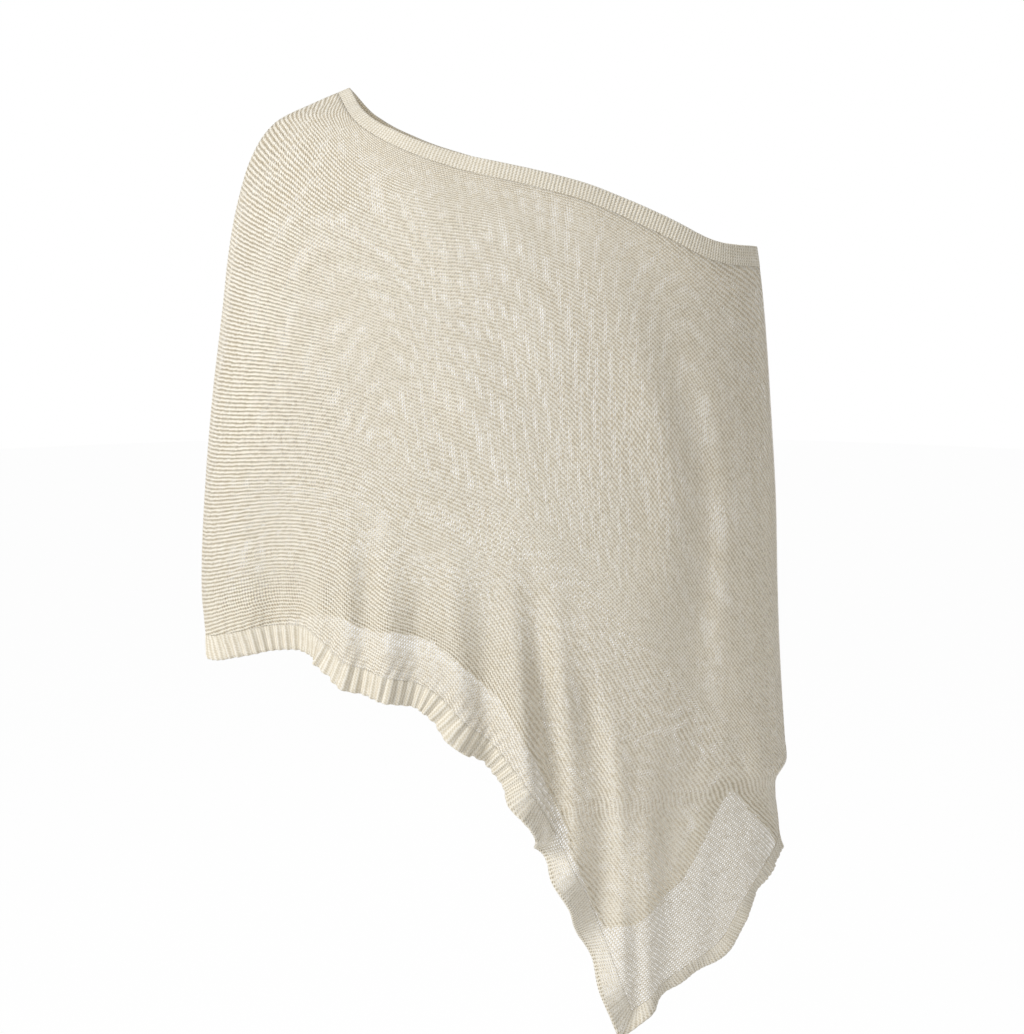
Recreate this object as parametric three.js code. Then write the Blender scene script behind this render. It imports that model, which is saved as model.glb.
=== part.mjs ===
// Knit beach cover-up: a one-shoulder poncho in fine open knit, shown as it is worn.
//
// Two panels, front and back, meet at the sides over the arms. Each is one sheet with four
// edges: the slanted neckline, the shoulder and right arm line, the hem, and the left arm line
// that turns at the side point into the tail edge and ends at the long tip. Rib bands finish
// the neckline, the hem and the tail edge.
//
// Millimetres. +X is the wearer's left, +Y their back, +Z up. The drape is worked out about
// the middle of the body, with z = 0 at the top of the right shoulder, and the whole garment
// is then shifted so that the origin lies on the shoulder that carries it.

import * as THREE from "three";

// ---------------------------------------------------------------- driving dimensions
const WALL = 2.0;                  // thickness of the knit
const SEAM_GAP = 0.3;              // between neighbouring pieces
const NECK_RIB_AT_SHOULDER = 11;   // width of the neck band at its two ends
const NECK_RIB_AT_ARM = 19;
const HEM_RIB = 24;
const TAIL_RIB = 13;
const TAIL_RIB_AT_SIDE = 16;       // cut on the slope, where front and back meet
const SHOULDER_SEAT = { x: -158, y: 0, z: -12 };   // the point that rests on the shoulder

const PANEL_COLUMNS = 28;
const PANEL_ROWS = 30;
const RIB_ROWS = 2;
const RING_STEPS = 72;
const EDGE_STEPS = 160;
const NORMAL_STEP = 0.004;
const INSIDE = 0.02;

// The hanging cloth at each height: half widths to the two arm lines, depth in front of and
// behind the arms, and how square the ring is (1 a diamond, 2 an ellipse).
const FORM = [
  { z: 12, right: 100, left: 100, front: 22, back: 20, square: 1.0 },
  { z: 0, right: 130, left: 130, front: 42, back: 38, square: 1.1 },
  { z: -12, right: 160, left: 160, front: 54, back: 52, square: 1.2 },
  { z: -30, right: 198, left: 198, front: 70, back: 68, square: 1.4 },
  { z: -60, right: 221, left: 221, front: 86, back: 84, square: 1.7 },
  { z: -100, right: 235, left: 236, front: 101, back: 95, square: 1.9 },
  { z: -145, right: 245, left: 246, front: 115, back: 101, square: 1.9 },
  { z: -200, right: 253, left: 254, front: 126, back: 104, square: 1.9 },
  { z: -280, right: 265, left: 262, front: 129, back: 100, square: 2.0 },
  { z: -380, right: 277, left: 271, front: 126, back: 98, square: 2.0 },
  { z: -470, right: 283, left: 276, front: 125, back: 104, square: 2.0 },
  { z: -540, right: 278, left: 281, front: 126, back: 112, square: 2.0 },
  { z: -620, right: 276, left: 289, front: 125, back: 114, square: 1.9 },
  { z: -641, right: 276, left: 291, front: 124, back: 114, square: 1.9 },
  { z: -661, right: 276, left: 281, front: 123, back: 114, square: 1.9 },
  { z: -720, right: 276, left: 287, front: 120, back: 113, square: 1.9 },
  { z: -900, right: 276, left: 290, front: 112, back: 114, square: 1.9 },
];

// The largest folds: a trough (negative) or ridge (positive) that starts at zTop, is full at
// zFull and runs from xTop to xFull as it falls.
const FRONT_FOLDS = [
  { xTop: -205, xFull: -200, zTop: -280, zFull: -500, halfWidth: 46, height: -34 },
  { xTop: 190, xFull: 196, zTop: -240, zFull: -480, halfWidth: 40, height: -12 },
  { xTop: 0, xFull: 32, zTop: -430, zFull: -610, halfWidth: 24, height: 7 },
  { xTop: 30, xFull: 66, zTop: -470, zFull: -640, halfWidth: 22, height: -6 },
  { xTop: -96, xFull: -100, zTop: -400, zFull: -520, halfWidth: 24, height: 5 },
];
const BACK_FOLDS = [
  { xTop: -205, xFull: -200, zTop: -280, zFull: -500, halfWidth: 46, height: -26 },
  { xTop: 190, xFull: 196, zTop: -240, zFull: -480, halfWidth: 40, height: -12 },
  { xTop: -20, xFull: 10, zTop: -400, zFull: -590, halfWidth: 26, height: 6 },
  { xTop: 40, xFull: 84, zTop: -470, zFull: -660, halfWidth: 24, height: -6 },
];

// Seam lines where the panels end and the ribs begin, seen from the front.
const FRONT_NECK = [
  { x: -141, z: -4 }, { x: -121, z: -33 }, { x: -84, z: -57 }, { x: -30, z: -77 },
  { x: 30, z: -91 }, { x: 82, z: -105 }, { x: 142, z: -130 }, { x: 200, z: -156 },
  { x: 248, z: -161 },
];
const BACK_NECK = [
  { x: -141, z: -4 }, { x: -118, z: -28 }, { x: -80, z: -48 }, { x: -28, z: -66 },
  { x: 30, z: -80 }, { x: 84, z: -95 }, { x: 144, z: -122 }, { x: 200, z: -151 },
  { x: 248, z: -161 },
];
const HEM = [
  { x: -281, z: -512 }, { x: -250, z: -501 }, { x: -205, z: -490 }, { x: -168, z: -490 },
  { x: -132, z: -512 }, { x: -92, z: -522 }, { x: -54, z: -534 }, { x: -26, z: -560 },
  { x: 6, z: -590 }, { x: 36, z: -628 }, { x: 57, z: -672 }, { x: 85, z: -732 },
  { x: 114, z: -808 }, { x: 133, z: -862 },
];
const FRONT_TAIL = [
  { x: 288, z: -716 }, { x: 264, z: -740 }, { x: 242, z: -770 }, { x: 221, z: -805 },
  { x: 184, z: -826 }, { x: 133, z: -862 },
];
const BACK_TAIL = [
  { x: 288, z: -716 }, { x: 263, z: -690 }, { x: 241, z: -683 }, { x: 223, z: -712 },
  { x: 209, z: -750 }, { x: 190, z: -790 }, { x: 168, z: -824 }, { x: 133, z: -862 },
];

// ---------------------------------------------------------------- the hanging form
const lerp = THREE.MathUtils.lerp;

function smoothRamp(value, from, to) {
  return THREE.MathUtils.smoothstep(Math.abs(value - from), 0, Math.abs(to - from))
    * (Math.sign(value - from) === Math.sign(to - from) ? 1 : 0);
}

// One value of the form at height z, through the rows by a Catmull-Rom curve.
function formValue(z, column) {
  const last = FORM.length - 1;
  let row = 0;
  while (row < last - 1 && z < FORM[row + 1].z) row += 1;
  const [upper, lower] = [FORM[row], FORM[row + 1]];
  const above = FORM[Math.max(row - 1, 0)];
  const below = FORM[Math.min(row + 2, last)];
  const span = lower.z - upper.z;
  const t = THREE.MathUtils.clamp((z - upper.z) / span, 0, 1);
  const slopeIn = span * (lower[column] - above[column]) / (lower.z - above.z || 1);
  const slopeOut = span * (below[column] - upper[column]) / (below.z - upper.z || 1);
  const [t2, t3] = [t * t, t * t * t];
  return (2 * t3 - 3 * t2 + 1) * upper[column] + (t3 - 2 * t2 + t) * slopeIn
    + (3 * t2 - 2 * t3) * lower[column] + (t3 - t2) * slopeOut;
}

// Half a ring at height z, from the right arm line round the front or back to the left one,
// with the length run so far at each point. side is -1 for the front and +1 for the back.
const ringCache = new Map();

function halfRing(z, side) {
  const key = `${side}:${z.toFixed(3)}`;
  if (ringCache.has(key)) return ringCache.get(key);
  const depth = formValue(z, side < 0 ? "front" : "back");
  const square = formValue(z, "square");
  const points = [];
  let run = 0;
  for (let i = 0; i <= RING_STEPS; i += 1) {
    const angle = Math.PI * (1 - i / RING_STEPS);
    const [c, s] = [Math.cos(angle), Math.sin(angle)];
    const half = formValue(z, c < 0 ? "right" : "left");
    const reach = ((Math.abs(c) / half) ** square + (s / depth) ** square) ** (-1 / square);
    const point = { x: reach * c, y: side * reach * s, run: 0 };
    if (i > 0) run += Math.hypot(point.x - points[i - 1].x, point.y - points[i - 1].y);
    point.run = run;
    points.push(point);
  }
  ringCache.set(key, points);
  return points;
}

// The place on a ring at the share u of its length, and the share at which it passes x.
function onRing(u, z, side) {
  const points = halfRing(z, side);
  const target = THREE.MathUtils.clamp(u, 0, 1) * points[RING_STEPS].run;
  let i = 1;
  while (i < RING_STEPS && points[i].run < target) i += 1;
  const [a, b] = [points[i - 1], points[i]];
  const share = (target - a.run) / (b.run - a.run);
  return new THREE.Vector3(lerp(a.x, b.x, share), lerp(a.y, b.y, share), z);
}

function shareAt(x, z, side) {
  const points = halfRing(z, side);
  if (x <= points[0].x) return 0;
  let i = 1;
  while (i < RING_STEPS && points[i].x < x) i += 1;
  const [a, b] = [points[i - 1], points[i]];
  const share = THREE.MathUtils.clamp((x - a.x) / (b.x - a.x), 0, 1);
  return lerp(a.run, b.run, share) / points[RING_STEPS].run;
}

function foldHeight(x, z, side) {
  return (side < 0 ? FRONT_FOLDS : BACK_FOLDS).reduce((sum, fold) => {
    const grown = smoothRamp(z, fold.zTop, fold.zFull);
    const centre = lerp(fold.xTop, fold.xFull, THREE.MathUtils.clamp(
      (z - fold.zTop) / (fold.zFull - fold.zTop), 0, 1.6));
    return sum + grown * fold.height * Math.exp(-(((x - centre) / fold.halfWidth) ** 2));
  }, 0);
}

function clothPoint(u, z, side) {
  const point = onRing(u, z, side);
  const nearFace = Math.sin(Math.PI * THREE.MathUtils.clamp(u, 0, 1)) ** 0.5;
  point.y += side * foldHeight(point.x, z, side) * nearFace;
  return point;
}

// ---------------------------------------------------------------- panel edges
// An edge as { u, z } places at even distances along the cloth.
function evenEdge(rows, side, ends) {
  const curve = new THREE.CatmullRomCurve3(
    rows.map((row) => new THREE.Vector3(row.x, 0, row.z)), false, "centripetal");
  const places = [];
  let run = 0;
  for (let i = 0; i <= EDGE_STEPS; i += 1) {
    const { x, z } = curve.getPoint(i / EDGE_STEPS);
    const place = { u: shareAt(x, z, side), z, run: 0 };
    if (i === 0 && ends.first !== undefined) place.u = ends.first;
    if (i === EDGE_STEPS && ends.last !== undefined) place.u = ends.last;
    place.point = clothPoint(place.u, z, side);
    if (i > 0) run += place.point.distanceTo(places[i - 1].point);
    place.run = run;
    places.push(place);
  }
  return places;
}

function armLine(zTop, zBottom, u, side) {
  const places = [];
  let run = 0;
  for (let i = 0; i <= EDGE_STEPS; i += 1) {
    const z = lerp(zTop, zBottom, i / EDGE_STEPS);
    const point = clothPoint(u, z, side);
    if (i > 0) run += point.distanceTo(places[i - 1].point);
    places.push({ u, z, point, run });
  }
  return places;
}

function joinEdges(first, second) {
  const start = first[first.length - 1].run;
  return first.concat(second.slice(1).map((place) => ({ ...place, run: start + place.run })));
}

function alongEdge(places, share) {
  const target = THREE.MathUtils.clamp(share, 0, 1) * places[places.length - 1].run;
  let i = 1;
  while (i < places.length - 1 && places[i].run < target) i += 1;
  const [a, b] = [places[i - 1], places[i]];
  const part = (target - a.run) / (b.run - a.run);
  return { u: lerp(a.u, b.u, part), z: lerp(a.z, b.z, part) };
}

// A panel blends its four edges: s runs along the knitted rows, t down across them.
function makePanel(side) {
  const neckRows = side < 0 ? FRONT_NECK : BACK_NECK;
  const tailRows = side < 0 ? FRONT_TAIL : BACK_TAIL;
  const neck = evenEdge(neckRows, side, { first: 0, last: 1 });
  const hem = evenEdge(HEM, side, { first: 0 });
  const rightArm = armLine(neckRows[0].z, HEM[0].z, 0, side);
  const leftArm = armLine(neckRows[neckRows.length - 1].z, tailRows[0].z, 1, side);
  const tail = evenEdge(tailRows, side, { first: 1 });
  const outer = joinEdges(leftArm, tail);
  const sidePoint = leftArm[leftArm.length - 1].run / outer[outer.length - 1].run;
  const sideRow = Math.round(sidePoint * PANEL_ROWS);

  // The rows are even above the side point and below it, and one of them lies on it.
  function rowShare(row) {
    if (row <= sideRow) return sidePoint * row / sideRow;
    return lerp(sidePoint, 1, (row - sideRow) / (PANEL_ROWS - sideRow));
  }

  function place(s, t) {
    const [top, bottom] = [alongEdge(neck, s), alongEdge(hem, s)];
    const [first, last] = [alongEdge(rightArm, t), alongEdge(outer, t)];
    const corner = {
      a: alongEdge(neck, 0), b: alongEdge(neck, 1), c: alongEdge(hem, 0), d: alongEdge(hem, 1),
    };
    const blend = (key) => (1 - t) * top[key] + t * bottom[key] + (1 - s) * first[key]
      + s * last[key] - (1 - s) * (1 - t) * corner.a[key] - s * (1 - t) * corner.b[key]
      - (1 - s) * t * corner.c[key] - s * t * corner.d[key];
    return { u: blend("u"), z: blend("z") };
  }

  function point(s, t) {
    const { u, z } = place(s, t);
    return clothPoint(u, z, side);
  }

  function normal(s, t) {
    const [s0, s1] = [Math.max(s - NORMAL_STEP, 0), Math.min(s + NORMAL_STEP, 1)];
    const [t0, t1] = [Math.max(t - NORMAL_STEP, 0), Math.min(t + NORMAL_STEP, 1)];
    const across = point(s1, t).sub(point(s0, t));
    const down = point(s, t1).sub(point(s, t0));
    const out = across.cross(down).multiplyScalar(side);
    if (s === 0 || (s === 1 && t <= sidePoint)) out.y = 0;
    return out.normalize();
  }

  return { side, sideRow, rowShare, point, normal };
}

// ---------------------------------------------------------------- closed walls
// A grid of middle points and normals becomes a closed wall of even thickness.
function wallGeometry(grid) {
  const [rows, columns] = [grid.length, grid[0].length];
  const positions = [];
  for (const face of [1, -1]) {
    for (const line of grid) {
      for (const { point, normal } of line) {
        const shifted = point.clone().addScaledVector(normal, face * WALL / 2);
        positions.push(shifted.x, shifted.y, shifted.z);
      }
    }
  }
  const index = (face, row, column) => face * rows * columns + row * columns + column;
  const faces = [];
  const quad = (a, b, c, d) => faces.push([a, b, c], [a, c, d]);
  for (let row = 0; row < rows - 1; row += 1) {
    for (let column = 0; column < columns - 1; column += 1) {
      quad(index(0, row, column), index(0, row + 1, column),
        index(0, row + 1, column + 1), index(0, row, column + 1));
      quad(index(1, row, column), index(1, row, column + 1),
        index(1, row + 1, column + 1), index(1, row + 1, column));
    }
  }
  const rim = [];
  for (let column = 0; column < columns; column += 1) rim.push([0, column]);
  for (let row = 1; row < rows; row += 1) rim.push([row, columns - 1]);
  for (let column = columns - 2; column >= 0; column -= 1) rim.push([rows - 1, column]);
  for (let row = rows - 2; row >= 1; row -= 1) rim.push([row, 0]);
  rim.forEach(([row, column], i) => {
    const [nextRow, nextColumn] = rim[(i + 1) % rim.length];
    quad(index(0, row, column), index(0, nextRow, nextColumn),
      index(1, nextRow, nextColumn), index(1, row, column));
  });
  const corner = (i) => new THREE.Vector3().fromArray(positions, 3 * i);
  const volume = faces.reduce(
    (sum, [a, b, c]) => sum + corner(a).dot(corner(b).cross(corner(c))), 0);
  const ordered = volume < 0 ? faces.map(([a, b, c]) => [a, c, b]) : faces;
  const geometry = new THREE.BufferGeometry();
  geometry.setAttribute("position", new THREE.Float32BufferAttribute(positions, 3));
  geometry.setIndex(ordered.flat());
  geometry.computeVertexNormals();
  return geometry;
}

// Keeps the pieces of front and back half a seam gap each from the plane between them.
function keepOffMiddle(point, side) {
  if (point.y * side < SEAM_GAP / 2) point.y = side * SEAM_GAP / 2;
  return point;
}

function panelGeometry(panel) {
  const grid = [];
  for (let row = 0; row <= PANEL_ROWS; row += 1) {
    const line = [];
    for (let column = 0; column <= PANEL_COLUMNS; column += 1) {
      const [s, t] = [column / PANEL_COLUMNS, panel.rowShare(row)];
      const point = keepOffMiddle(panel.point(s, t), panel.side);
      line.push({ point, normal: panel.normal(s, t) });
    }
    grid.push(line);
  }
  return wallGeometry(grid);
}

// ---------------------------------------------------------------- rib bands
// The stops are places { s, t } along a panel's edge, with the band's width at each and how
// far s and t change to a place just inside the panel.
function bandColumns(panel, stops) {
  const points = stops.map(({ s, t }) => keepOffMiddle(panel.point(s, t), panel.side));
  return stops.map(({ s, t, inward, width }, i) => {
    const inside = panel.point(s + inward.s, t + inward.t);
    const tangent = points[Math.min(i + 1, stops.length - 1)].clone()
      .sub(points[Math.max(i - 1, 0)]).normalize();
    const normal = panel.normal(s, t);
    const out = tangent.clone().cross(normal).normalize();
    if (out.dot(inside.sub(points[i])) > 0) out.negate();
    return { point: points[i], normal, out, width, reach: out.clone().multiplyScalar(width) };
  });
}

// At the side seams a band ends in the plane between front and back.
function squareEnd(column, direction, width) {
  column.reach = direction.clone().setY(0).normalize().multiplyScalar(width);
  column.width = width;
}

// Where two bands meet at the tip they are mitred, half a gap each from the joint.
function mitre(column, other) {
  const cosine = column.out.dot(other.out);
  const scale = 1 / (1 - cosine * cosine);
  const own = scale * (column.width - cosine * other.width);
  const its = scale * (other.width - cosine * column.width);
  return column.out.clone().multiplyScalar(own).addScaledVector(other.out, its);
}

function mitreTip(hem, tail) {
  const reach = mitre(hem, tail);
  const across = hem.out.clone().sub(tail.out);
  across.addScaledVector(reach, -across.dot(reach) / reach.lengthSq()).normalize();
  for (const [column, sign] of [[hem, 1], [tail, -1]]) {
    column.reach = reach.clone();
    column.point = column.point.clone().addScaledVector(across, sign * SEAM_GAP / 2);
  }
}

function bandGeometry(columns) {
  const grid = [];
  for (let row = 0; row <= RIB_ROWS; row += 1) {
    grid.push(columns.map(({ point, normal, reach, width }) => {
      const share = lerp(SEAM_GAP / width, 1, row / RIB_ROWS);
      return { point: point.clone().addScaledVector(reach, share), normal };
    }));
  }
  return wallGeometry(grid);
}

function ribBands(panel) {
  const neckStops = [];
  const hemStops = [];
  for (let column = 0; column <= PANEL_COLUMNS; column += 1) {
    const s = column / PANEL_COLUMNS;
    const neckWidth = lerp(NECK_RIB_AT_SHOULDER, NECK_RIB_AT_ARM, s);
    neckStops.push({ s, t: 0, inward: { s: 0, t: INSIDE }, width: neckWidth });
    hemStops.push({ s, t: 1, inward: { s: 0, t: -INSIDE }, width: HEM_RIB });
  }
  const tailStops = [];
  for (let row = panel.sideRow; row <= PANEL_ROWS; row += 1) {
    tailStops.push({ s: 1, t: panel.rowShare(row), inward: { s: -INSIDE, t: 0 }, width: TAIL_RIB });
  }
  const neck = bandColumns(panel, neckStops);
  const hem = bandColumns(panel, hemStops);
  const tail = bandColumns(panel, tailStops);
  squareEnd(neck[0], new THREE.Vector3(0.93, 0, 0.37), NECK_RIB_AT_SHOULDER);
  squareEnd(neck[PANEL_COLUMNS], new THREE.Vector3(-0.15, 0, 1), NECK_RIB_AT_ARM);
  squareEnd(hem[0], new THREE.Vector3(0.1, 0, -1), HEM_RIB);
  squareEnd(tail[0], new THREE.Vector3(0.05, 0, -1), TAIL_RIB_AT_SIDE);
  mitreTip(hem[PANEL_COLUMNS], tail[tail.length - 1]);
  return { neck: bandGeometry(neck), hem: bandGeometry(hem), tail: bandGeometry(tail) };
}

// ---------------------------------------------------------------- the garment
function knitMaterial(color, roughness) {
  return new THREE.MeshStandardMaterial({ color, roughness, metalness: 0 });
}

const garment = new THREE.Group();
garment.position.set(-SHOULDER_SEAT.x, -SHOULDER_SEAT.y, -SHOULDER_SEAT.z);

for (const [name, side] of [["front", -1], ["back", 1]]) {
  const panel = makePanel(side);
  const ribs = ribBands(panel);
  const half = new THREE.Group();
  const add = (label, geometry, material) => {
    const mesh = new THREE.Mesh(geometry, material);
    mesh.name = label;
    half.add(mesh);
  };
  add(`${name}_panel`, panelGeometry(panel), knitMaterial("#e3dac6", 0.9));
  add(`neck_rib_${name}`, ribs.neck, knitMaterial("#e6ddc9", 0.88));
  add(`hem_rib_${name}`, ribs.hem, knitMaterial("#e8dfcb", 0.88));
  add(`tail_rib_${name}`, ribs.tail, knitMaterial("#e8dfcb", 0.88));
  garment.add(half);
}

const model = new THREE.Group();
model.add(garment);

export default model;
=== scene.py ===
"""A worn one-shoulder poncho in fine open knit, for Blender 4.5.

Two panels and six rib bands are draped on one hanging form, in metres, in the frame of the
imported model: +X is the wearer's left, +Y their back, +Z up, and the origin lies on the
shoulder that carries the garment.
"""

import logging
import math
from dataclasses import dataclass, field
from enum import Enum
from typing import Any, Sequence

import bmesh
import bpy
import numpy as np
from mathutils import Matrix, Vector


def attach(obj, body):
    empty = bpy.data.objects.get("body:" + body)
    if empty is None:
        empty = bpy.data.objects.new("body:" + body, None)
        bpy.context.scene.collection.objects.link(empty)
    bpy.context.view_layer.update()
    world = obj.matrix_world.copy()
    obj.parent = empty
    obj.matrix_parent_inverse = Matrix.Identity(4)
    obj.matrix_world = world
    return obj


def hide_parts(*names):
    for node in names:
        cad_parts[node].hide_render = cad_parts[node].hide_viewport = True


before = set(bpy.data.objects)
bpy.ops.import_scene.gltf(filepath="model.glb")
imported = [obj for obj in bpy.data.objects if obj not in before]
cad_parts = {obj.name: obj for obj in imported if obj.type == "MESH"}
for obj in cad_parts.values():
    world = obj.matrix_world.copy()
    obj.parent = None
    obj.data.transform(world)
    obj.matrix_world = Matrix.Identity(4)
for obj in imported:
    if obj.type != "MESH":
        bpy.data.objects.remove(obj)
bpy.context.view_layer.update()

LOG = logging.getLogger("cover_up")
MM = 0.001
TURN = 2 * math.pi
BODY = "root"
WHITE = (1.0, 1.0, 1.0, 1.0)

SHOULDER_SEAT_MM = (-158.0, 0.0, -12.0)


class Side(Enum):
    """The half of the garment a piece belongs to; the value is the sign of its Y."""

    FRONT = -1
    BACK = 1

    @property
    def word(self) -> str:
        """The side's name as used in node names."""
        return self.name.lower()


# ---------------------------------------------------------------------------------------
# The hanging form
# ---------------------------------------------------------------------------------------


@dataclass(frozen=True)
class FormRow:
    """The hanging cloth at one height, in millimetres about the middle of the body."""

    z: float
    right: float
    left: float
    front: float
    back: float
    square: float


@dataclass(frozen=True)
class Fold:
    """A soft ridge (height above 0) or trough, in millimetres.

    It starts at z_top, is full at z_full, and its middle moves from x_top to x_full. Below
    z_end it dies away again over the fade length.
    """

    x_top: float
    x_full: float
    z_top: float
    z_full: float
    half_width: float
    height: float
    z_end: float = -1200.0
    fade: float = 60.0


FORM_ROWS = (
    FormRow(12, 100, 100, 22, 20, 1.0),
    FormRow(0, 130, 130, 42, 38, 1.1),
    FormRow(-12, 160, 160, 54, 52, 1.2),
    FormRow(-30, 198, 198, 70, 68, 1.4),
    FormRow(-60, 221, 221, 86, 84, 1.7),
    FormRow(-100, 235, 236, 101, 95, 1.9),
    FormRow(-145, 245, 246, 115, 101, 1.9),
    FormRow(-200, 253, 254, 126, 104, 1.9),
    FormRow(-280, 265, 262, 129, 100, 2.0),
    FormRow(-380, 277, 271, 126, 98, 2.0),
    FormRow(-470, 283, 276, 125, 104, 2.0),
    FormRow(-540, 278, 281, 126, 112, 2.0),
    FormRow(-620, 276, 289, 125, 114, 1.9),
    FormRow(-641, 276, 291, 124, 114, 1.9),
    FormRow(-661, 276, 281, 123, 114, 1.9),
    FormRow(-720, 276, 287, 120, 113, 1.9),
    FormRow(-900, 276, 290, 112, 114, 1.9),
)

MAIN_FOLDS = {
    Side.FRONT: (
        Fold(-205, -200, -280, -500, 46, -34),
        Fold(190, 196, -240, -480, 40, -12),
        Fold(0, 32, -430, -610, 24, 7),
        Fold(30, 66, -470, -640, 22, -6),
        Fold(-96, -100, -400, -520, 24, 5),
    ),
    Side.BACK: (
        Fold(-205, -200, -280, -500, 46, -26),
        Fold(190, 196, -240, -480, 40, -12),
        Fold(-20, 10, -400, -590, 26, 6),
        Fold(40, 84, -470, -660, 24, -6),
    ),
}

CREASES = {
    Side.FRONT: (
        Fold(-246, -250, -430, -490, 9, -3.0),
        Fold(-220, -224, -410, -480, 11, 3.5),
        Fold(-172, -176, -380, -470, 10, -4.5),
        Fold(-152, -156, -380, -475, 9, 4.5),
        Fold(-124, -131, -330, -470, 10, 5.5),
        Fold(-106, -112, -360, -480, 10, -4.8),
        Fold(-88, -93, -370, -480, 11, 4.8),
        Fold(-62, -66, -420, -480, 11, -4.0),
        Fold(-36, -29, -370, -510, 12, 5.6),
        Fold(-10, -3, -410, -560, 11, -5.6),
        Fold(10, 29, -370, -560, 12, 7.6),
        Fold(34, 50, -410, -590, 10, -7.4),
        Fold(50, 67, -390, -570, 11, 6.4),
        Fold(78, 94, -490, -590, 12, -6.0),
        Fold(98, 116, -520, -640, 12, 6.0),
        Fold(120, 130, -590, -740, 11, -5.6),
        Fold(140, 146, -590, -750, 12, 5.6),
        Fold(166, 164, -600, -700, 12, -4.0),
        Fold(206, 200, -560, -680, 16, 4.5),
        Fold(230, 238, -540, -620, 12, -4.0, -730),
        Fold(-150, -70, -130, -215, 20, 2.4, -330),
        Fold(-110, -30, -110, -190, 18, -1.8, -280),
        Fold(150, 178, -190, -300, 16, -3.2, -520),
        Fold(112, 142, -170, -280, 18, 2.6, -480),
        Fold(196, 206, -240, -340, 14, 3.0, -560),
    ),
    Side.BACK: (
        Fold(-228, -232, -430, -500, 10, 3.5),
        Fold(-168, -172, -400, -460, 10, -5.0),
        Fold(-140, -146, -380, -450, 9, 5.5),
        Fold(-112, -118, -390, -470, 10, -5.0),
        Fold(-82, -84, -400, -480, 11, 6.0),
        Fold(-52, -48, -430, -510, 9, -5.0),
        Fold(6, 26, -400, -570, 11, -5.6),
        Fold(28, 48, -380, -570, 13, 6.6),
        Fold(70, 90, -490, -610, 11, -6.0),
        Fold(96, 116, -510, -640, 13, 6.0),
        Fold(134, 142, -600, -720, 11, -5.5),
        Fold(160, 164, -580, -690, 12, 5.0),
        Fold(192, 190, -540, -660, 12, -4.5),
        Fold(-120, -40, -120, -210, 20, 2.2, -340),
        Fold(120, 150, -170, -290, 18, -2.8, -500),
        Fold(176, 190, -220, -330, 14, 2.4, -540),
    ),
}


@dataclass(frozen=True)
class Ripple:
    """One of the slow waves that keep the cloth from hanging evenly, in millimetres."""

    across: float
    down: float
    phase: float
    height: float


RIPPLES = (
    Ripple(0.052, 0.019, 0.4, 0.5),
    Ripple(0.034, -0.043, 2.1, 0.45),
    Ripple(0.087, 0.031, 4.0, 0.3),
    Ripple(0.021, 0.066, 1.3, 0.4),
)
FACING_POWER = 0.5
FOLD_DRIFT = 1.6


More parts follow.
